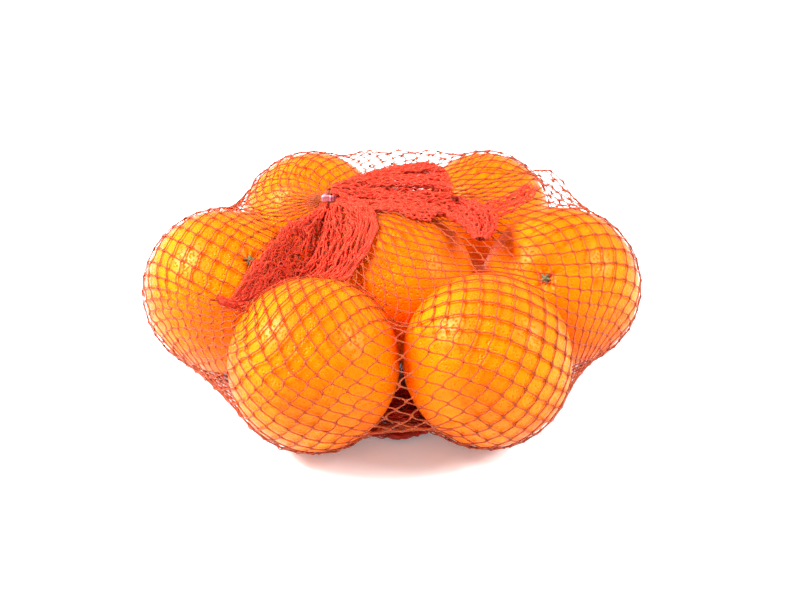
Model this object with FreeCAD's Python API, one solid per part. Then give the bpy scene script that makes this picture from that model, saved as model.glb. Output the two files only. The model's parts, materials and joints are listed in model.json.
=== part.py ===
"""A clipped mesh produce bag that holds seven oranges, one STEP file for each sub-part.

Everything is in millimetres, +Z up. The origin is on the surface that the bag lies on, under
the middle of the bag's outline. The net is a seamless tube drawn tight over one layer of fruit.
A clip shuts its gathered top, and its free end, the tail, lies to the right on top of the bag.
A second clip under the bag shuts the other end of the tube.
"""
import FreeCAD
import Part
import math
import os

V = FreeCAD.Vector
UP = V(0, 0, 1)

# Net
SKIN = 0.8  # thickness of one layer of net, which is the strand's own thickness
EASE = 0.9  # room between a fruit and the net
FLOOR = 0.7  # thickness of the layer that is pressed flat under the fruit
FRUIT_FLOOR = 1.5  # height of the lowest point of each fruit

# Fruit: place in plan, width across the stem axis, length along it, and where the stem points
FRUIT_SIZES = {
    "front_left": (-33.5, -63.0, 73.6, 71.0, (-0.55, 0.75, -0.35)),
    "front_right": (39.5, -60.0, 74.4, 71.8, (0.95, 0.3, -0.1)),
    "left": (-76.5, -2.0, 76.2, 73.4, (0.39, -0.52, 0.76)),
    "middle": (1.0, 5.0, 74.6, 72.0, (0.1, 0.75, -0.65)),
    "right": (77.0, 3.5, 74.0, 71.4, (-0.3, -0.77, 0.56)),
    "back_left": (-41.0, 71.0, 72.0, 69.4, (-0.3, 0.8, 0.52)),
    "back_right": (47.6, 83.4, 66.6, 64.4, (0.6, 0.7, 0.39)),
}
DIMPLE_RADIUS = 9.0  # of the hollow round the stem
SEAT_RADIUS = 3.3  # flat floor of the hollow, which carries the stem button
SEAT_DEPTH = 2.4  # below the spheroid's own pole
BUTTON_RADIUS = 1.7  # middle disc of the stem button
BUTTON_HEIGHT = 1.1
SEPALS = 5
SEPAL_RADIUS = 1.0
STUB_RADIUS = 0.9
STUB_HEIGHT = 1.9

# Gathers and clips
TOP_GATHER = (-28.5, 25.0)  # the gathered neck, in plan with the fruit
NECK_RINGS = ((22.0, 75.0), (14.0, 73.4), (8.0, 71.8), (4.8, 71.4), (3.5, 72.4), (3.2, 75.6))
NECK_BORE = 1.6  # radius left open inside the gathered neck
TAIL_PIVOT = 78.0  # height of the level axis, along Y, that the tail bends about over the clip
TAIL_ROOT_RADIUS = 2.2  # of the round bunch on that axis, which stands just clear of the neck
TAIL_ROOT_HALF = 3.0  # half its length along Y
BASE_GATHER = (2.5, -38.5)  # the gathered base, in the space between three fruits
RECESS_MOUTH = 13.0
RECESS_TOP = 3.2
RECESS_HEIGHT = 6.0
BASE_STUB_RADIUS = 2.4
BASE_STUB_LOW = 0.8
CLIP_WALL = 0.9
CLIP_HEIGHT = 2.8
TOP_CLIP_LOW = 72.6
BASE_CLIP_LOW = 1.0
CLIP_EARS = 1.4  # length of the pinched ends that stand out of a clip

# Tail: stations along +X from the neck, as (x from the neck, half width, half thickness, height)
TAIL_STATIONS = (
    (0.0, 2.9, 2.1, 78.0),
    (7.0, 6.8, 2.2, 79.0),
    (19.0, 12.6, 2.3, 79.7),
    (32.0, 19.0, 2.3, 79.8),
    (45.0, 24.8, 2.2, 79.3),
    (58.0, 28.5, 1.8, 78.4),
)

# How finely the net's surface is worked out
BEARINGS = 72
SEAM_BEARING = 12  # degrees, between two fruits, where the surface closes on itself
LOWER_LEVELS = (0.0, 1.8, 5.5, 11.5, 19.0, 28.0)
WAIST = 37.5
UPPER_SLANTS = (0, 12, 24, 34, 43, 51, 59, 66)  # degrees up from the waist
SEARCH_WAYS = 12
FINEST_STEP = 0.002


class Fruit:
    """An orange: a spheroid on the net's floor, with its stem along axis."""

    def __init__(self, name, x, y, width, length, axis):
        self.name = name
        self.across = width / 2
        self.along = length / 2
        self.axis = V(*axis).normalize()
        self.centre = V(x, y, FRUIT_FLOOR + self.reach(UP))

    def reach(self, normal):
        """How far the spheroid reaches from its centre along a normal."""
        turned = normal.dot(self.axis)
        level = normal.dot(normal) - turned * turned
        return math.sqrt(self.across**2 * level + self.along**2 * turned * turned)


def plan_centre():
    """The middle of the whole outline in plan, which becomes the origin."""
    fruits = [Fruit(name, *sizes) for name, sizes in FRUIT_SIZES.items()]
    middle = []
    for way in (V(1, 0, 0), V(0, 1, 0)):
        high = max(f.centre.dot(way) + f.reach(way) for f in fruits)
        low = min(f.centre.dot(way) - f.reach(way) for f in fruits)
        middle.append((high + low) / 2)
    return V(middle[0], middle[1], 0)


MIDDLE = plan_centre()
FRUITS = [
    Fruit(name, x - MIDDLE.x, y - MIDDLE.y, width, length, axis)
    for name, (x, y, width, length, axis) in FRUIT_SIZES.items()
]
NECK = V(TOP_GATHER[0] - MIDDLE.x, TOP_GATHER[1] - MIDDLE.y, 0)
BASE = V(BASE_GATHER[0] - MIDDLE.x, BASE_GATHER[1] - MIDDLE.y, 0)


def tight_distance(origin, way, gap):
    """Distance from origin, along way, to a membrane stretched round all the fruit.

    The membrane stands gap off the fruit. Each plane that touches it bounds the distance, so the
    tightest plane is looked for among the normals n that have n.way = 1.
    """

    def bound(normal):
        fruit = max(f.centre.dot(normal) + f.reach(normal) for f in FRUITS)
        return fruit + gap * normal.Length - origin.dot(normal)

    across = way.cross(UP if abs(way.z) < 0.9 else V(1, 0, 0)).normalize()
    over = way.cross(across)
    turns = [2 * math.pi * k / SEARCH_WAYS for k in range(SEARCH_WAYS)]
    ways = [across * math.cos(turn) + over * math.sin(turn) for turn in turns]
    best = way
    distance = bound(best)
    step = 1.0
    while step > FINEST_STEP:
        trials = [best + side * step for side in ways]
        reaches = [bound(trial) for trial in trials]
        nearest = min(reaches)
        if nearest < distance - 1e-7:
            distance = nearest
            best = trials[reaches.index(nearest)]
        else:
            step /= 2
    return distance


def bearing_way(k):
    """The level direction of the k-th of the bearings round the neck, from the seam."""
    bearing = math.radians(SEAM_BEARING + 360 * k / BEARINGS)
    return V(math.cos(bearing), math.sin(bearing), 0)


def level_ring(height, gap):
    """The membrane's outline at one height, seen from the neck's axis."""
    origin = V(NECK.x, NECK.y, height)
    ring = []
    for k in range(BEARINGS):
        way = bearing_way(k)
        ring.append(origin + way * tight_distance(origin, way, gap))
    return ring


def slanted_ring(waist, slant, gap):
    """The membrane where rays from the neck's axis at waist height meet it, slant degrees up."""
    origin = V(NECK.x, NECK.y, WAIST)
    ring = []
    for point in waist:
        flat = (point - origin) * math.cos(math.radians(slant))
        way = (flat + UP * WAIST * math.sin(math.radians(slant))).normalize()
        ring.append(origin + way * tight_distance(origin, way, gap))
    return ring


def neck_ring(radius, height):
    """A round ring about the neck's axis."""
    centre = V(NECK.x, NECK.y, height)
    return [centre + bearing_way(k) * radius for k in range(BEARINGS)]


def skin_solid(gap, bottom, neck_rings):
    """The space inside a membrane that stands gap off the fruit, with a flat bottom."""
    rings = [level_ring(max(level, bottom), gap) for level in LOWER_LEVELS]
    waist = level_ring(WAIST, gap)
    rings += [slanted_ring(waist, slant, gap) for slant in UPPER_SLANTS]
    rings += [neck_ring(radius, height) for radius, height in neck_rings]
    grid = [ring + ring[:1] for ring in rings]
    surface = Part.BSplineSurface()
    surface.interpolate(grid)
    side = surface.toShape()
    ends = []
    for edge in side.Edges:
        box = edge.BoundBox
        if box.ZLength < 1e-3 and box.XLength > 1:
            ends.append(Part.Face(Part.Wire([edge])))
    shell = Part.makeShell([side] + ends)
    shell.sewShape()
    solid = Part.makeSolid(shell)
    if solid.Volume < 0:
        solid.reverse()
    return solid


def cone_at(place, low_radius, high_radius, low, high):
    """An upright cone about the vertical through place."""
    return Part.makeCone(low_radius, high_radius, high - low, V(place.x, place.y, low))


def net_bag():
    """The net round the fruit: a skin with a gathered neck on top and a gathered base below."""
    inner_rings = []
    for radius, height in NECK_RINGS[:-2]:
        inner_rings.append((max(radius - SKIN * 0.7, NECK_BORE), height - SKIN))
    inner_rings += [(NECK_BORE, NECK_RINGS[-2][1]), (NECK_BORE, NECK_RINGS[-1][1] + 1)]
    outer = skin_solid(EASE + SKIN, 0.0, NECK_RINGS)
    inner = skin_solid(EASE, FLOOR, inner_rings)
    recess = cone_at(BASE, RECESS_MOUTH, RECESS_TOP, 0, RECESS_HEIGHT)
    below = Part.makeCylinder(RECESS_MOUTH, 2, V(BASE.x, BASE.y, -2))
    cover = cone_at(BASE, RECESS_MOUTH + SKIN, RECESS_TOP + SKIN, 0, RECESS_HEIGHT + SKIN)
    stub_height = RECESS_HEIGHT + SKIN / 2 - BASE_STUB_LOW
    stub = Part.makeCylinder(BASE_STUB_RADIUS, stub_height, V(BASE.x, BASE.y, BASE_STUB_LOW))
    skin = outer.cut(recess.fuse(below)).cut(inner.cut(cover))
    return skin.fuse(stub)


def clip(place, low, hole, bearing):
    """A pinched ring that shuts a gathered tube, with its two ends standing out to one side."""
    centre = V(place.x, place.y, low)
    outer = hole + CLIP_WALL
    ring = Part.makeCylinder(outer, CLIP_HEIGHT, centre)
    ears = Part.makeBox(outer + CLIP_EARS, 2.4, CLIP_HEIGHT, centre + V(0, -1.2, 0))
    outer_edges = [e for e in ears.Edges if e.BoundBox.ZLength > 1 and e.BoundBox.XMin > place.x + 1]
    ears = ears.makeFillet(0.5, outer_edges)
    split = Part.makeBox(CLIP_EARS + 1, 0.4, CLIP_HEIGHT + 2, centre + V(outer, -0.2, -1))
    body = ring.fuse(ears).cut(split)
    body = body.cut(Part.makeCylinder(hole, CLIP_HEIGHT + 2, centre - V(0, 0, 1)))
    body.rotate(centre, UP, bearing)
    return body


def tail():
    """The free end of the tube past the clip: a round root on its axis, spread flat to its end."""
    sections = []
    for along, half_width, half_thickness, height in TAIL_STATIONS:
        centre = V(NECK.x + along, NECK.y, height)
        oval = Part.Ellipse(centre + V(0, half_width, 0), centre + V(0, 0, half_thickness), centre)
        sections.append(Part.Wire([oval.toShape()]))
    start = V(NECK.x, NECK.y - TAIL_ROOT_HALF, TAIL_PIVOT)
    root = Part.makeCylinder(TAIL_ROOT_RADIUS, 2 * TAIL_ROOT_HALF, start, V(0, 1, 0))
    return Part.makeLoft(sections, True, False).fuse(root)


def orange(fruit):
    """A spheroid about +Z with a hollow and a flat seat at its stem, set in its place."""
    rim_height = fruit.along * math.sqrt(1 - (DIMPLE_RADIUS / fruit.across) ** 2)
    seat_height = fruit.along - SEAT_DEPTH
    body = Part.Ellipse(V(fruit.across, 0, 0), V(0, 0, fruit.along), V(0, 0, 0))
    rim = V(DIMPLE_RADIUS, 0, rim_height)
    start = body.parameter(V(0, 0, -fruit.along))
    end = body.parameter(rim)
    if end < start:
        end += 2 * math.pi
    side = body.toShape(start, end)
    halfway = V((DIMPLE_RADIUS + SEAT_RADIUS) / 2, 0, (rim_height + seat_height) / 2)
    wall = Part.BSplineCurve()
    wall.interpolate([rim, halfway, V(SEAT_RADIUS, 0, seat_height)])
    wall = wall.toShape()
    seat = Part.makeLine(V(SEAT_RADIUS, 0, seat_height), V(0, 0, seat_height))
    spine = Part.makeLine(V(0, 0, seat_height), V(0, 0, -fruit.along))
    profile = Part.Face(Part.Wire([side, wall, seat, spine]))
    solid = profile.revolve(V(0, 0, 0), UP, 360).toNurbs()
    return place_on_fruit(solid, fruit)


def stem_button(fruit):
    """The dried green star and stub of the stem, standing on the seat of its hollow."""
    seat = V(0, 0, fruit.along - SEAT_DEPTH)
    button = Part.makeCylinder(BUTTON_RADIUS, BUTTON_HEIGHT, seat)
    for k in range(SEPALS):
        turn = 2 * math.pi * k / SEPALS
        place = seat + V(math.cos(turn), math.sin(turn), 0) * (BUTTON_RADIUS + 0.3)
        button = button.fuse(Part.makeCylinder(SEPAL_RADIUS, BUTTON_HEIGHT * 0.7, place))
    button = button.fuse(Part.makeCylinder(STUB_RADIUS, STUB_HEIGHT, seat))
    return place_on_fruit(button.removeSplitter(), fruit)


def place_on_fruit(shape, fruit):
    """Turns a shape made about +Z to the fruit's stem axis and moves it to the fruit's centre."""
    shape.Placement = FreeCAD.Placement(fruit.centre, FreeCAD.Rotation(UP, fruit.axis))
    return shape


def write(name, shape):
    shape.exportStep(os.path.join("parts", name + ".step"))
    box = shape.BoundBox
    print(
        f"{name}: valid {shape.isValid()}, solids {len(shape.Solids)}, "
        f"volume {shape.Volume / 1000:.2f} cm3, z {box.ZMin:.2f} to {box.ZMax:.2f}"
    )


def main():
    os.makedirs("parts", exist_ok=True)
    write("net_bag", net_bag())
    write("neck_clip", clip(NECK, TOP_CLIP_LOW, NECK_RINGS[-1][0] - 0.05, 215))
    write("base_clip", clip(BASE, BASE_CLIP_LOW, BASE_STUB_RADIUS - 0.05, 30))
    write("net_tail", tail())
    for fruit in FRUITS:
        write("orange_" + fruit.name, orange(fruit))
        write("stem_" + fruit.name, stem_button(fruit))
        print(fruit.name, [round(v, 1) for v in fruit.centre], [round(v, 3) for v in fruit.axis])
    print("neck", [round(v, 2) for v in NECK], "base", [round(v, 2) for v in BASE])


main()
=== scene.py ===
"""A red mesh bag of seven oranges: the looks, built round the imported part.

The net is a tube of knotted strands. It is pulled tight over the fruit by a short simulation, and
each strand is then drawn as a thin tube. Lengths are in millimetres until a mesh is written.
"""
import json
import math

import bpy
import numpy as np
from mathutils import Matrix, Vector


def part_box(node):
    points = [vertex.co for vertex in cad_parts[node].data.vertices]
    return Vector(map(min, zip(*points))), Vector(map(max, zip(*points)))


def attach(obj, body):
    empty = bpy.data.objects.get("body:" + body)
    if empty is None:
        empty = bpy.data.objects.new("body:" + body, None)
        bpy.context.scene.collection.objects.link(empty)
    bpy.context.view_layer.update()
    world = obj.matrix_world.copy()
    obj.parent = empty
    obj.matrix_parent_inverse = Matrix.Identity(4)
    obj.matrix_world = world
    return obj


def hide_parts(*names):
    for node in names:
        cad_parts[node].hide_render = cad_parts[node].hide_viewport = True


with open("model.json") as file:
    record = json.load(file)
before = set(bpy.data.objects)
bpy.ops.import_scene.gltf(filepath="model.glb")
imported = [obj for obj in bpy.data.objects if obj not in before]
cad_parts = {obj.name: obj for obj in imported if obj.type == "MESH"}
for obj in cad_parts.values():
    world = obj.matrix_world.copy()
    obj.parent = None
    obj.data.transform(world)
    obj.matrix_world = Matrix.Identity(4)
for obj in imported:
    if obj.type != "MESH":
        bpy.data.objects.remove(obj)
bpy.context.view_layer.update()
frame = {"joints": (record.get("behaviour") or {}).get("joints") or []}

MM = 0.001
UP = np.array([0.0, 0.0, 1.0])

# Net
COLUMNS = 62
ROWS = 54
STRAND = 7.0  # length of one side of a cell, before it is stretched
SLACK_BOW = 0.9  # most that a slack strand bows to a side
FOLD_BOW = 1.5  # the same in the folds, tucks and tail
STRAND_RADIUS = 0.31
KNOT_RADIUS = 0.62
NECK_ROWS = ((77.4, 1.7), (75.0, 2.1), (72.7, 2.3))  # height and radius of the rows held by the clip
BASE_ROWS = ((6.4, 3.0), (3.6, 2.0), (1.2, 2.0))
BASE_FROM_NECK = (31.0, -63.5, 0.0)
MIDDLE = np.array([0.0, 0.0, 38.0])  # of the bag
START_SIZE = (128, 118, 46)  # half sizes of the egg shape that the knots start on
START_HEIGHT = 42  # of its middle
STEPS = 900
# Each step's pull, in millimetres or, for EVENING, as a share of the way
EVENING = 0.03  # towards even spacing round a row
DIP_PULL = 0.06  # down into a valley
SAG = 0.004  # down, everywhere on top
DRAW_IN = 0.01  # towards the base clip, under the bag
TUCK_IN = 0.12  # backwards, between the front fruit
CLEARANCE = 0.75  # from the fruit's skin to the middle of a strand
# Places in plan below are measured from the neck.
# Where the columns bunch on their way to the neck: bearing in degrees, how much denser, and spread
GATHERS = ((-105, 8, 17), (-8, 4, 16))
# Valleys that the loose top sinks into: x, y and reach
DIPS = ((-7, -45, 14), (-26, -57, 14), (31, -85, 12), (62, 20, 12))
# Where the stiff net stands up off the fruit: x, y, z and radius
STANDS = (
    (16, 60.5, 54.6, 14),
    (32, 62.5, 53.7, 14),
    (48, 64.5, 52.8, 14),
    (100, 27, 62, 12),
    (-34, 13, 52, 14),
)

# Tail: x, y, half width and height of its middle
TAIL_PLAN = (
    (0, 0, 2.0, 78.0),
    (5, 0, 4.4, 78.6),
    (12, 0.5, 8.4, 79.0),
    (22, 1, 13.6, 79.2),
    (34, 1, 19.5, 79.0),
    (46, 0.5, 24.5, 78.4),
    (55, 0, 27, 77.6),
)
TAIL_ROUNDING = 9.0  # how far the corners of its end are drawn back
TAIL_DROP = 0.8  # how far its underside lies below those heights
TAIL_COLUMNS, TAIL_ROW, TAIL_THICKNESS, TAIL_SEED = 100, 3.8, 0.8, 11

# Folds of loose net that lie in the valleys: (x, y, half width) along each, columns and row spacing
TO_LOWER_LEFT = (
    (0, -3, 3),
    (2, -14, 14),
    (1, -27, 20),
    (-7, -40, 18),
    (-20, -52, 11),
    (-33, -62, 5),
    (-46, -70, 1.5),
)
ALONG_LEFT_VALLEY = ((-14, -45, 7), (-28, -56, 7), (-37, -64, 4.5), (-44, -70, 2))
TO_NOTCH = (
    (3, -1, 3),
    (16, -4, 12),
    (32, -3, 15),
    (46, -1, 14),
    (58, -9, 12),
    (66, -21, 9),
    (68, -32, 5),
    (67, -39, 2),
)
UP_FROM_NOTCH = ((58, -16, 5), (67, -14, 7), (78, -8, 6), (86, 0, 5), (94, 14, 3))
FOLDS = (
    (TO_LOWER_LEFT, 88, 3.8),
    (ALONG_LEFT_VALLEY, 12, 5.5),
    (TO_NOTCH, 60, 3.8),
    (UP_FROM_NOTCH, 9, 5.5),
)
FOLD_THICKNESS = 0.5

# Net tucked down between fruits: (x, y, half width) along each and its height
TUCKS = (
    (((18, -79, 8), (31, -80, 12), (44, -79, 8)), 2.5),
    (((18, -73, 8), (31, -75, 12), (44, -73, 8)), 8.0),
    (((67.6, -29, 1.5), (67.6, -36, 3.5), (67.6, -43, 6.5), (67.6, -47, 5)), 48.0),
)
TUCK_COLUMNS, TUCK_ROW, TUCK_THICKNESS = 44, 4.0, 0.6

random = np.random.default_rng(7)


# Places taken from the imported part

def box_mm(node):
    low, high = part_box(node)
    return np.array(low) / MM, np.array(high) / MM


class Fruit:
    """A spheroid read from the part: its centre, stem axis and two half sizes."""

    def __init__(self, joint):
        self.name = joint["child"].replace("fruit_", "")
        self.body = joint["child"]
        self.centre = np.array(joint["pos_m"]) / MM
        axis = np.array(joint["axis"], float)
        self.axis = axis / np.linalg.norm(axis)
        low, high = box_mm("orange_" + self.name)
        reach = np.maximum(high - self.centre, self.centre - low)
        share = self.axis**2
        sizes = np.linalg.lstsq(np.stack([1 - share, share], 1), reach**2, rcond=None)[0]
        self.across, self.along = np.sqrt(sizes)


joints = {joint["name"]: joint for joint in frame["joints"]}
fruits = [Fruit(joint) for name, joint in joints.items() if name.startswith("turn_")]
pivot = np.array(joints["tail_lift"]["pos_m"]) / MM
neck_low, neck_high = box_mm("neck_clip")
base_low, base_high = box_mm("base_clip")
neck = np.array([pivot[0], pivot[1], 0.0])
base = neck + BASE_FROM_NECK


# Meshes

def unit(vectors):
    length = np.linalg.norm(vectors, axis=-1, keepdims=True)
    return vectors / np.maximum(length, 1e-9)


def make_mesh(name, points, faces, rounded=True, uv=None):
    """A mesh from points in millimetres and faces, which are arrays of equal width."""
    mesh = bpy.data.meshes.new(name)
    faces = [np.asarray(f) for f in (faces if isinstance(faces, list) else [faces])]
    loops = np.concatenate([f.ravel() for f in faces])
    widths = np.concatenate([np.full(len(f), f.shape[1]) for f in faces])
    starts = np.concatenate([[0], np.cumsum(widths)[:-1]])
    mesh.vertices.add(len(points))
    mesh.vertices.foreach_set("co", (np.asarray(points) * MM).astype(np.float32).ravel())
    mesh.loops.add(len(loops))
    mesh.loops.foreach_set("vertex_index", loops.astype(np.int32))
    mesh.polygons.add(len(starts))
    mesh.polygons.foreach_set("loop_start", starts.astype(np.int32))
    mesh.polygons.foreach_set("loop_total", widths.astype(np.int32))
    mesh.update(calc_edges=True)
    mesh.validate()
    if rounded:
        mesh.polygons.foreach_set("use_smooth", np.ones(len(mesh.polygons), bool))
    if uv is not None:
        layer = mesh.uv_layers.new(name="UVMap")
        layer.data.foreach_set("uv", np.asarray(uv)[loops].astype(np.float32).ravel())
    obj = bpy.data.objects.new(name, mesh)
    bpy.context.scene.collection.objects.link(obj)
    return obj


def tubes(lines, radii, sides, away):
    """Tubes along lines [line, point, xyz] with radii [line, point]: points, quads and uv.

    away points out of the bag at each point, and gives each tube a side that doesn't twist.
    """
    count, steps, _ = lines.shape
    along = unit(np.gradient(lines, axis=1))
    side = unit(np.cross(along, away))
    over = np.cross(side, along)
    turn = 2 * np.pi * np.arange(sides) / sides
    ring = (side[:, :, None] * np.cos(turn)[:, None] + over[:, :, None] * np.sin(turn)[:, None])
    points = lines[:, :, None] + ring * radii[:, :, None, None]
    index = np.arange(count * steps * sides).reshape(count, steps, sides)
    a, b = index[:, :-1], index[:, 1:]
    quads = np.stack([a, np.roll(a, -1, 2), np.roll(b, -1, 2), b], -1).reshape(-1, 4)
    pieces = np.linalg.norm(np.diff(lines, axis=1), axis=-1)
    run = np.concatenate([np.zeros((count, 1)), np.cumsum(pieces, 1)], 1)
    uv = np.stack(np.broadcast_arrays(run[:, :, None], (turn / (2 * np.pi))[None, None]), -1)
    return points.reshape(-1, 3), quads, uv.reshape(-1, 2)


# Net simulation

def link_families(rows):
    """The net's links in four families, each of which uses a knot once: rows, next rows, shift."""
    even, odd = np.arange(0, rows - 1, 2), np.arange(1, rows - 1, 2)
    return [(even, even + 1, 0), (even, even + 1, -1), (odd, odd + 1, 0), (odd, odd + 1, 1)]


class Stand:
    """A round space in the net that holds it up where no fruit does."""

    def __init__(self, x, y, z, radius):
        self.centre = np.array([x, y, z]) + neck
        self.axis = UP
        self.across = self.along = radius


def push_out(points, gap, shapes=None):
    """Moves points that are inside a fruit, or nearer than gap, out to gap."""
    for fruit in shapes or fruits:
        offset = points - fruit.centre
        along = offset @ fruit.axis
        level = (offset * offset).sum(-1) - along**2
        depth = level / (fruit.across + gap) ** 2 + along**2 / (fruit.along + gap) ** 2
        inside = depth < 1
        if inside.any():
            points[inside] = fruit.centre + offset[inside] / np.sqrt(depth[inside])[:, None]


def ring_of(centre, height, radius, row):
    """A round row of knots, as a clip holds it."""
    turn = 2 * np.pi * (np.arange(COLUMNS) + 0.5 * (row % 2)) / COLUMNS
    ring = np.stack([np.cos(turn) * radius, np.sin(turn) * radius, np.full(COLUMNS, height)], -1)
    return ring + centre * [1, 1, 0]


def smooth_step(value, low, high):
    """0 below low, 1 above high and a smooth rise between them."""
    share = np.clip((value - low) / (high - low), 0, 1)
    return share * share * (3 - 2 * share)


def gathered(turn):
    """Bearings about the neck with the columns drawn together over the valleys."""
    far = math.radians(110)
    bearing = np.linspace(far - 2 * np.pi, far, 1441)
    density = np.ones(len(bearing))
    for middle, more, spread in GATHERS:
        density += more * np.exp(-(((bearing - math.radians(middle)) / math.radians(spread)) ** 2))
    share = np.cumsum(density)
    share = (share - share[0]) / (share[-1] - share[0])
    whole = np.floor((turn - far) / (2 * np.pi)) + 1
    return np.interp((turn - far) / (2 * np.pi) + 1 - whole, share, bearing) + whole * 2 * np.pi


def on_membrane(points, gap):
    """Points moved, along lines from the middle of the bag, onto a membrane tight round the fruit."""
    count = 6000  # directions in which the membrane's reach is measured
    height = 1 - (2 * np.arange(count) + 1) / count
    turn = np.arange(count) * math.pi * (3 - math.sqrt(5))
    level = np.sqrt(1 - height**2)
    normals = np.stack([level * np.cos(turn), level * np.sin(turn), height], -1)
    bound = np.full(count, -1e9)
    for fruit in fruits:
        along = (normals @ fruit.axis) ** 2
        reach = np.sqrt(fruit.across**2 * (1 - along) + fruit.along**2 * along)
        bound = np.maximum(bound, normals @ (fruit.centre - MIDDLE) + reach + gap)
    ways = unit(points.reshape(-1, 3) - MIDDLE)
    facing = ways @ normals.T
    distance = np.where(facing > 0.05, bound / np.maximum(facing, 0.05), 1e9).min(1)
    return (MIDDLE + ways * distance[:, None]).reshape(points.shape)


def settle_net():
    """The knots of the tube net, [row, column, xyz], pulled tight over the fruit.

    The rows start on an egg shape round the bag, from the neck (high = 1) to the base (high = 0).
    """
    slope = np.linspace(0.06, np.pi - 0.05, ROWS)
    knots = np.zeros((ROWS, COLUMNS, 3))
    for row, angle in enumerate(slope):
        turn = 2 * np.pi * (np.arange(COLUMNS) + 0.5 * (row % 2)) / COLUMNS
        high = (1 + math.cos(angle)) / 2
        turn = turn + (gathered(turn) - turn) * smooth_step(high, 0.5, 0.85)
        centre = neck * high**3 + base * (1 - high) ** 3
        x = math.sin(angle) * np.cos(turn) * START_SIZE[0]
        y = math.sin(angle) * np.sin(turn) * START_SIZE[1]
        z = np.full(COLUMNS, math.cos(angle) * START_SIZE[2] + START_HEIGHT)
        knots[row] = np.stack([x, y, z], -1) + centre
    knots = on_membrane(knots, CLEARANCE)
    top = [ring_of(neck, height, radius, row) for row, (height, radius) in enumerate(NECK_ROWS)]
    low = [ring_of(base, height, radius, ROWS - 3 + k) for k, (height, radius) in enumerate(BASE_ROWS)]
    stands = [Stand(*place) for place in STANDS]
    families = link_families(ROWS)
    evening = EVENING * smooth_step(np.arange(ROWS), 14, 24)[1:-1, None, None]
    for _ in range(STEPS):
        # Draw strands that are too long back towards their length
        for rows, following, shift in families:
            upper = knots[rows]
            lower = np.roll(knots[following], -shift, axis=1)
            gap = lower - upper
            length = np.sqrt((gap * gap).sum(-1))
            pull = gap * (0.5 * np.maximum(length - STRAND, 0) / np.maximum(length, 1e-6))[..., None]
            knots[rows] = upper + pull
            knots[following] = np.roll(lower - pull, shift, axis=1)
        # Even out the columns round the lower rows
        between = (np.roll(knots, 1, axis=1) + np.roll(knots, -1, axis=1)) / 2
        knots[1:-1] += (between[1:-1] - knots[1:-1]) * evening
        # Sink into the valleys, and a little everywhere on top
        for x, y, reach in DIPS:
            near = np.exp(-(((knots[..., :2] - neck[:2] - [x, y]) ** 2).sum(-1)) / reach**2)
            knots[..., 2] -= DIP_PULL * near * (knots[..., 2] > 45)
        knots[..., 2] -= SAG * smooth_step(knots[..., 2], 35, 60)
        # Draw in towards the base clip under the bag, and tuck in between the front fruit
        under = 1 - smooth_step(knots[..., 2], 10, 40)[..., None]
        knots[..., :2] -= DRAW_IN * under * unit(knots[..., :2] - base[:2])
        tucked = np.exp(-(((knots[..., 0] - base[0]) / 11) ** 2)) * (knots[..., 2] < 20)
        knots[..., 1] += TUCK_IN * tucked * (knots[..., 1] < base[1])
        # Stay off the fruit and the floor, and in the clips
        push_out(knots, CLEARANCE, fruits + stands)
        np.maximum(knots[..., 2], 0.5, out=knots[..., 2])
        knots[:3] = top
        knots[-3:] = low
    return knots


def strands_between(knots, steps, bow):
    """Every link as a curve that leaves its knots partly along the tube: lines [link, point, xyz]."""
    rows = len(knots)
    following = np.empty_like(knots)
    neighbours = [(-1, 0), (0, 1)]
    for row in range(rows):
        a, b = neighbours[row % 2]
        ahead = knots[min(row + 1, rows - 1)]
        behind = knots[max(row - 1, 0)]
        ahead = (np.roll(ahead, -a, axis=0) + np.roll(ahead, -b, axis=0)) / 2
        behind = (np.roll(behind, -a, axis=0) + np.roll(behind, -b, axis=0)) / 2
        following[row] = ahead - behind
    following = unit(following)
    lines = []
    t = np.linspace(0, 1, steps + 1)[:, None]
    for top_rows, next_rows, shift in link_families(rows):
        start = knots[top_rows].reshape(-1, 3)
        end = np.roll(knots[next_rows], -shift, axis=1).reshape(-1, 3)
        lean_start = following[top_rows].reshape(-1, 3)
        lean_end = np.roll(following[next_rows], -shift, axis=1).reshape(-1, 3)
        chord = end - start
        length = np.linalg.norm(chord, axis=-1, keepdims=True)
        m0 = (unit(chord) + lean_start) * length / 2
        m1 = (unit(chord) + lean_end) * length / 2
        h00, h10 = 2 * t**3 - 3 * t**2 + 1, t**3 - 2 * t**2 + t
        h01, h11 = -2 * t**3 + 3 * t**2, t**3 - t**2
        curve = start[:, None] * h00 + m0[:, None] * h10 + end[:, None] * h01 + m1[:, None] * h11
        slack = length * np.sqrt(0.375 * np.maximum(STRAND / np.maximum(length, 1.0) - 1, 0))
        way = unit(np.cross(chord, random.normal(size=chord.shape)))
        lines.append(curve + (way * np.minimum(slack * 0.6, bow))[:, None] * np.sin(np.pi * t))
    return np.concatenate(lines)


def net_mesh(name, knots, bow):
    """The strands and knots of a net as one mesh. Slack strands bow to a side by up to bow."""
    steps, sides = 6, 6
    lines = strands_between(knots, steps, bow)
    flat = lines.reshape(-1, 3)
    push_out(flat, STRAND_RADIUS + 0.07)
    np.maximum(flat[:, 2], STRAND_RADIUS + 0.02, out=flat[:, 2])
    lines = flat.reshape(lines.shape)
    share = np.abs(np.linspace(-1, 1, steps + 1)) ** 3
    radii = np.broadcast_to(STRAND_RADIUS + (KNOT_RADIUS - STRAND_RADIUS) * share, lines.shape[:2])
    away = unit(lines - MIDDLE)
    points, quads, uv = tubes(lines, radii, sides, away)
    return make_mesh(name, points, quads, uv=uv)


# Materials

def material(name):
    mat = bpy.data.materials.new(name)
    mat.use_nodes = True
    nodes = mat.node_tree.nodes
    return mat, nodes, mat.node_tree.links, nodes["Principled BSDF"]


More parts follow.
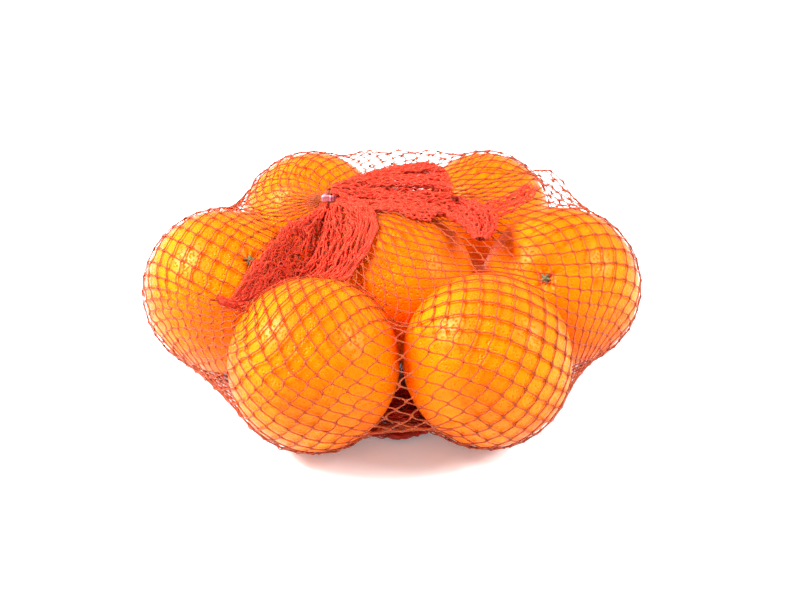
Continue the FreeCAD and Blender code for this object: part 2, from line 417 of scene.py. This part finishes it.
def peel_material():
    mat, nodes, links, shader = material("orange_peel")
    place = nodes.new("ShaderNodeTexCoord")
    broad = nodes.new("ShaderNodeTexNoise")
    broad.inputs["Scale"].default_value = 38
    broad.inputs["Detail"].default_value = 3
    links.new(place.outputs["Object"], broad.inputs["Vector"])
    ramp = nodes.new("ShaderNodeValToRGB")
    ramp.color_ramp.elements[0].position = 0.32
    ramp.color_ramp.elements[0].color = (0.85, 0.108, 0.0, 1)
    ramp.color_ramp.elements[1].position = 0.7
    ramp.color_ramp.elements[1].color = (0.86, 0.184, 0.0, 1)
    links.new(broad.outputs["Fac"], ramp.inputs["Fac"])
    pores = nodes.new("ShaderNodeTexVoronoi")
    pores.inputs["Scale"].default_value = 720
    links.new(place.outputs["Object"], pores.inputs["Vector"])
    pit = nodes.new("ShaderNodeMapRange")
    pit.inputs["From Min"].default_value = 0.0
    pit.inputs["From Max"].default_value = 0.45
    links.new(pores.outputs["Distance"], pit.inputs["Value"])
    darker = nodes.new("ShaderNodeMix")
    darker.data_type = "RGBA"
    darker.blend_type = "MULTIPLY"
    darker.inputs["Factor"].default_value = 1.0
    tint = nodes.new("ShaderNodeValToRGB")
    tint.color_ramp.elements[0].color = (0.9, 0.78, 0.7, 1)
    tint.color_ramp.elements[1].color = (1, 1, 1, 1)
    tint.color_ramp.elements[1].position = 0.6
    links.new(pit.outputs["Result"], tint.inputs["Fac"])
    links.new(ramp.outputs["Color"], darker.inputs["A"])
    links.new(tint.outputs["Color"], darker.inputs["B"])
    links.new(darker.outputs["Result"], shader.inputs["Base Color"])
    bump = nodes.new("ShaderNodeBump")
    bump.inputs["Strength"].default_value = 0.7
    bump.inputs["Distance"].default_value = 0.0006
    links.new(pit.outputs["Result"], bump.inputs["Height"])
    links.new(bump.outputs["Normal"], shader.inputs["Normal"])
    shader.inputs["Roughness"].default_value = 0.32
    shader.inputs["Specular IOR Level"].default_value = 0.15
    shader.inputs["Specular Tint"].default_value = (1.0, 0.75, 0.3, 1)
    shader.inputs["Subsurface Weight"].default_value = 0.2
    shader.inputs["Subsurface Radius"].default_value = (1.0, 0.3, 0.03)
    shader.inputs["Subsurface Scale"].default_value = 0.006
    return mat


def net_material(name, low, high, alpha):
    """Clear red plastic, made as a shaded and a lit copy of the one plastic. The paler copy, used where the
    net is bunched, has painted light in its colour, standing for light scattered in its layers; the darker
    copy, for the single net, is the red darkened with painted shade.
    """
    mat, nodes, links, shader = material(name)
    place = nodes.new("ShaderNodeTexCoord")
    twist = nodes.new("ShaderNodeTexWave")
    twist.wave_type = "BANDS"
    twist.bands_direction = "DIAGONAL"
    twist.inputs["Scale"].default_value = 1.4
    links.new(place.outputs["UV"], twist.inputs["Vector"])
    ramp = nodes.new("ShaderNodeValToRGB")
    ramp.color_ramp.elements[0].color = (*low, 1)
    ramp.color_ramp.elements[1].color = (*high, 1)
    links.new(twist.outputs["Fac"], ramp.inputs["Fac"])
    links.new(ramp.outputs["Color"], shader.inputs["Base Color"])
    bump = nodes.new("ShaderNodeBump")
    bump.inputs["Strength"].default_value = 0.4
    bump.inputs["Distance"].default_value = 0.0002
    links.new(twist.outputs["Fac"], bump.inputs["Height"])
    links.new(bump.outputs["Normal"], shader.inputs["Normal"])
    shader.inputs["Roughness"].default_value = 0.4
    shader.inputs["Specular IOR Level"].default_value = 0.15
    shader.inputs["Subsurface Weight"].default_value = 0.4
    shader.inputs["Subsurface Radius"].default_value = (1.0, 0.25, 0.15)
    shader.inputs["Subsurface Scale"].default_value = 0.001
    shader.inputs["Alpha"].default_value = alpha
    return mat


def plain_material(name, low, high, scale, roughness, bump_depth):
    mat, nodes, links, shader = material(name)
    place = nodes.new("ShaderNodeTexCoord")
    noise = nodes.new("ShaderNodeTexNoise")
    noise.inputs["Scale"].default_value = scale
    noise.inputs["Detail"].default_value = 4
    links.new(place.outputs["Object"], noise.inputs["Vector"])
    ramp = nodes.new("ShaderNodeValToRGB")
    ramp.color_ramp.elements[0].position = 0.35
    ramp.color_ramp.elements[0].color = (*low, 1)
    ramp.color_ramp.elements[1].position = 0.65
    ramp.color_ramp.elements[1].color = (*high, 1)
    links.new(noise.outputs["Fac"], ramp.inputs["Fac"])
    links.new(ramp.outputs["Color"], shader.inputs["Base Color"])
    bump = nodes.new("ShaderNodeBump")
    bump.inputs["Strength"].default_value = 0.6
    bump.inputs["Distance"].default_value = bump_depth
    links.new(noise.outputs["Fac"], bump.inputs["Height"])
    links.new(bump.outputs["Normal"], shader.inputs["Normal"])
    shader.inputs["Roughness"].default_value = roughness
    return mat


# Pieces

def turned(points, fruit):
    """Points made about +Z, turned so that +Z lies along the fruit's stem."""
    turn = np.array(Vector(fruit.axis).to_track_quat("Z", "Y").to_matrix())
    return points @ turn.T


def orange(fruit, mat):
    """A slightly uneven spheroid with a hollow at the stem and a shallow one at the other end."""
    rings, around = 96, 144
    polar = np.linspace(0, np.pi, rings + 1)[1:-1]
    turn = 2 * np.pi * np.arange(around) / around
    polar, turn = np.meshgrid(polar, turn, indexing="ij")
    ways = np.stack([np.sin(polar) * np.cos(turn), np.sin(polar) * np.sin(turn), np.cos(polar)], -1)
    ways = np.concatenate([[[0, 0, 1.0]], ways.reshape(-1, 3), [[0, 0, -1.0]]])
    lumps = np.zeros(len(ways))
    for _ in range(10):
        wave = random.normal(size=3) * 2.4
        lumps += np.sin(ways @ wave + random.uniform(0, 6.28)) * 0.06
    lumps -= lumps.max()
    points = ways * [fruit.across, fruit.across, fruit.along] * (1 + (lumps / fruit.across)[:, None])
    out = np.hypot(points[:, 0], points[:, 1])
    angle = np.arctan2(points[:, 1], points[:, 0])
    furrow = 1 + 0.22 * np.cos(5 * angle + random.uniform(0, 6)) + 0.12 * np.cos(9 * angle)
    points[:, 2] -= np.where(ways[:, 2] > 0, 3.1 * np.exp(-((out / 5.2) ** 2)) * furrow, 0)
    points[:, 2] += np.where(ways[:, 2] < 0, 0.8 * np.exp(-((out / 3.0) ** 2)), 0)
    index = 1 + np.arange((rings - 1) * around).reshape(rings - 1, around)
    a, b = index[:-1], index[1:]
    quads = np.stack([a, b, np.roll(b, -1, 1), np.roll(a, -1, 1)], -1).reshape(-1, 4)
    first, last = index[0], index[-1]
    top = np.stack([np.zeros(around, int), first, np.roll(first, -1)], -1)
    low = np.stack([np.full(around, len(points) - 1), np.roll(last, -1), last], -1)
    obj = make_mesh("peel_" + fruit.name, turned(points, fruit), [quads, top, low])
    obj.data.materials.append(mat)
    obj.location = Vector(fruit.centre * MM)
    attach(obj, fruit.body)
    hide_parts("orange_" + fruit.name)
    return obj


def calyx(fruit, mat):
    """The dried star with a stub, sitting in the fruit's hollow."""
    around = 60
    turn = 2 * np.pi * np.arange(around) / around
    star = 1 + 0.34 * np.cos(5 * turn) + 0.06 * np.cos(11 * turn + 1)
    seat = fruit.along - 3.0
    stub = [(0.3, 1.9), (0.55, 1.95), (0.62, 1.1)]
    leaves = [(0.9, 0.95), (1.3, 0.9), (1.8, 0.75), (2.1, 0.45), (2.15, 0.0), (1.4, -0.3)]
    profile = stub + leaves
    points = []
    for radius, height in profile:
        wave = 1 + (star - 1) * min(1, max(0, (radius - 0.6) / 1.4))
        level = np.full(around, seat + height) + (wave - 1) * 0.5
        points.append(np.stack([np.cos(turn) * radius * wave, np.sin(turn) * radius * wave, level], -1))
    points = np.concatenate([[[0, 0, seat + 1.85]], np.concatenate(points)])
    index = 1 + np.arange(len(profile) * around).reshape(len(profile), around)
    a, b = index[:-1], index[1:]
    quads = np.stack([a, b, np.roll(b, -1, 1), np.roll(a, -1, 1)], -1).reshape(-1, 4)
    top = np.stack([np.zeros(around, int), index[0], np.roll(index[0], -1)], -1)
    obj = make_mesh("calyx_" + fruit.name, turned(points, fruit), [quads, top])
    obj.data.materials.append(mat)
    obj.location = Vector(fruit.centre * MM)
    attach(obj, fruit.body)
    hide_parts("stem_" + fruit.name)
    return obj


def clip_piece(name, node, centre, low, high, radius, mat, bearing):
    """A crimped band round a gathered tube, with an ear where its ends are pinched together."""
    around, wall, ear_length, ear_spread = 96, 0.85, 2.4, 0.26
    turn = 2 * np.pi * np.arange(around) / around
    from_ear = (turn + np.pi) % (2 * np.pi) - np.pi
    ear = ear_length * np.exp(-((from_ear / ear_spread) ** 2))
    outside = radius + wall + 0.10 * np.cos(16 * turn) + ear
    inside = np.full(around, radius + 0.1)
    # Share of the height and radius of each ring, up the outside and back down the inside
    swell = [(0.0, -0.35), (0.12, 0.0), (0.3, 0.06), (0.5, -0.08), (0.7, 0.06), (0.88, 0.0), (1.0, -0.35)]
    profile = [(share, outside + more) for share, more in swell] + [(1.0, inside), (0.0, inside)]
    rings = []
    for share, r in profile:
        level = np.full(around, low + (high - low) * share)
        rings.append(np.stack([np.cos(turn) * r, np.sin(turn) * r, level], -1))
    points = np.concatenate(rings)
    spin = math.radians(bearing)
    rotate = np.array([[math.cos(spin), -math.sin(spin), 0], [math.sin(spin), math.cos(spin), 0], [0, 0, 1]])
    points = points @ rotate.T + centre * [1, 1, 0]
    index = np.arange(len(points)).reshape(len(rings), around)
    a, b = index, np.roll(index, -1, 0)
    quads = np.stack([a, np.roll(a, -1, 1), np.roll(b, -1, 1), b], -1).reshape(-1, 4)
    obj = make_mesh(name, points, quads)
    obj.data.materials.append(mat)
    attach(obj, "bag")
    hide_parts(node)
    return obj


def net_height(xy):
    """Height of the top of the settled net over points in plan."""
    top = knots[3:].reshape(-1, 3)
    top = top[top[:, 2] > 36]
    apart = ((xy[:, None] - top[None, :, :2]) ** 2).sum(-1)
    nearest = np.argpartition(apart, 4, axis=1)[:, :4]
    weight = 1 / (np.take_along_axis(apart, nearest, 1) + 1)
    return (top[nearest, 2] * weight).sum(1) / weight.sum(1)


def bunch(plan, columns, row_length, thickness, seed, heights=None, rounding=0.0, floor=None):
    """The knots of loose tube net that lies flat along a line in plan, with small pleats.

    plan holds (x, y, half width) along the line. The bunch rests on the net or has heights, or lies
    at the height floor. seed sets its pleats, and thickness is half its depth.
    """
    plan = np.array(plan, float)
    run = np.concatenate([[0], np.cumsum(np.linalg.norm(np.diff(plan[:, :2], axis=0), axis=1))])
    rows = int(run[-1] / row_length) + 1
    at = np.linspace(0, run[-1], rows)
    line = np.stack([np.interp(at, run, plan[:, k]) for k in range(2)], -1) + neck[:2]
    half = np.interp(at, run, plan[:, 2])
    ahead = unit(np.gradient(line, axis=0))
    side = np.stack([-ahead[:, 1], ahead[:, 0]], -1)
    chance = np.random.default_rng(seed)
    phase = chance.uniform(0, 6.28, 4)
    made = np.zeros((rows, columns, 3))
    for row in range(rows):
        turn = 2 * np.pi * (np.arange(columns) + 0.5 * (row % 2)) / columns
        across = np.sin(turn)
        loose = min(1, half[row] / 8)
        fold = across + 0.06 * np.sin(9 * across + phase[0] + 0.2 * row)
        fold = fold + 0.04 * np.sin(17 * across + phase[1])
        back = rounding * np.abs(across) ** 3 * (row / (rows - 1)) ** 2
        xy = line[row] + side[row] * (fold * half[row])[:, None] - ahead[row] * back[:, None]
        xy = xy + chance.normal(size=xy.shape) * 0.6 * loose
        pleat = 0.8 * np.sin(8 * across + phase[2] + 0.3 * row) + 0.5 * np.sin(19 * across + phase[3])
        pleat = pleat * loose
        z = net_height(xy) + 0.9
        if heights is not None:
            droop = 6.0 * np.clip(0.2 - 0.8 * across, 0, 1) ** 1.3 * min(1, at[row] / 14)
            z = np.maximum(z, np.interp(at[row], run, heights) - droop)
        if floor is not None:
            z = np.full(columns, floor)
        points = np.column_stack([xy, z + thickness * (1 + np.cos(turn)) + pleat])
        push_out(points, 1.0)
        made[row] = points
    return made


# Build

peel = peel_material()
stem = plain_material("calyx", (0.05, 0.04, 0.012), (0.13, 0.12, 0.035), 900, 0.7, 0.0004)
clip = plain_material("clip_plastic", (0.34, 0.09, 0.13), (0.62, 0.27, 0.33), 260, 0.3, 0.0001)
# The net's plastic is made twice: a darker copy for the single net, with painted shade, and a paler copy for
# bunched net, with painted light for light scattered in its layers.
net = net_material("net_plastic", (0.24, 0.035, 0.008), (0.42, 0.066, 0.015), 0.66)
bunched_net_painted_light = net_material("net_bunched", (0.54, 0.03, 0.013), (0.77, 0.07, 0.03), 0.54)

for fruit in fruits:
    orange(fruit, peel)
    calyx(fruit, stem)

knots = settle_net()
cuts = (0, 18, 36, ROWS - 1)
for part, (start, end) in enumerate(zip(cuts[:-1], cuts[1:])):
    start -= start % 2
    end -= end % 2 if end != ROWS - 1 else 0
    piece = net_mesh("net_part_%d" % (part + 1), knots[start:end + 1], SLACK_BOW)
    piece.data.materials.append(net)
    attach(piece, "bag")
    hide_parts("net_bag")

for number, (plan, columns, row_length) in enumerate(FOLDS):
    fold_knots = bunch(plan, columns, row_length, FOLD_THICKNESS, number)
    piece = net_mesh("net_fold_%d" % (number + 1), fold_knots, FOLD_BOW)
    piece.data.materials.append(bunched_net_painted_light)
    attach(piece, "bag")
    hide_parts("net_bag")

for number, (plan, height) in enumerate(TUCKS):
    tuck_knots = bunch(plan, TUCK_COLUMNS, TUCK_ROW, TUCK_THICKNESS, number, floor=height)
    piece = net_mesh("net_tuck_%d" % (number + 1), tuck_knots, FOLD_BOW)
    piece.data.materials.append(bunched_net_painted_light)
    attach(piece, "bag")
    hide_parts("net_bag")

tail_plan = [place[:3] for place in TAIL_PLAN]
tail_heights = [place[3] - TAIL_DROP for place in TAIL_PLAN]
tail_knots = bunch(tail_plan, TAIL_COLUMNS, TAIL_ROW, TAIL_THICKNESS, TAIL_SEED, tail_heights, TAIL_ROUNDING)
tail = net_mesh("net_tail_mesh", tail_knots, FOLD_BOW)
tail.data.materials.append(bunched_net_painted_light)
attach(tail, "tail")
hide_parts("net_tail")

clip_piece("neck_band", "neck_clip", neck, neck_low[2], neck_high[2] + 0.6, 2.5, clip, 215)
clip_piece("base_band", "base_clip", base, base_low[2], base_high[2], 2.35, clip, 30)

# Floor, light and camera

floor_size = 20.0
corners = np.array([[-1, -1, 0], [1, -1, 0], [1, 1, 0], [-1, 1, 0]]) * floor_size / 2 / MM
floor = make_mesh("floor", corners, np.array([[0, 1, 2, 3]]), rounded=False)
white, nodes, links, shader = material("studio_white")
shader.inputs["Base Color"].default_value = (0.88, 0.98, 1, 1)
shader.inputs["Emission Color"].default_value = (1, 1, 1, 1)
shader.inputs["Emission Strength"].default_value = 0.18
shader.inputs["Roughness"].default_value = 0.8
shader.inputs["Specular IOR Level"].default_value = 0.1
floor.data.materials.append(white)

scene = bpy.context.scene
world = bpy.data.worlds.new("studio")
scene.world = world
world.use_nodes = True
world.node_tree.nodes["Background"].inputs["Color"].default_value = (1, 1, 1, 1)
world.node_tree.nodes["Background"].inputs["Strength"].default_value = 0.62
scene.view_settings.view_transform = "Standard"


def softbox(name, place, aim, size, power, colour=(1, 1, 1)):
    data = bpy.data.lights.new(name, "AREA")
    data.shape = "RECTANGLE"
    data.size, data.size_y = size
    data.energy = power
    data.color = colour
    light = bpy.data.objects.new(name, data)
    scene.collection.objects.link(light)
    light.location = place
    light.rotation_mode = "QUATERNION"
    light.rotation_quaternion = (Vector(aim) - Vector(place)).to_track_quat("-Z", "Y")


softbox("key", (-0.68, -0.04, 0.68), (0, 0, 0.03), (0.42, 0.42), 35)
softbox("fill", (0.68, -0.16, 0.56), (0, 0, 0.03), (0.35, 0.4), 13)

camera_data = bpy.data.cameras.new("camera")
camera = bpy.data.objects.new("camera", camera_data)
scene.collection.objects.link(camera)
camera_data.sensor_width = 36
camera_data.lens = 61.1
camera_data.clip_start = 0.01
elevation, distance = math.radians(30.2), 0.62
aim = Vector((neck[0] + 28.5, neck[1] - 25.0, 35.5)) * MM
camera.location = aim + Vector((0, -math.cos(elevation), math.sin(elevation))) * distance
camera.rotation_mode = "QUATERNION"
camera.rotation_quaternion = (aim - camera.location).to_track_quat("-Z", "Y")
scene.camera = camera
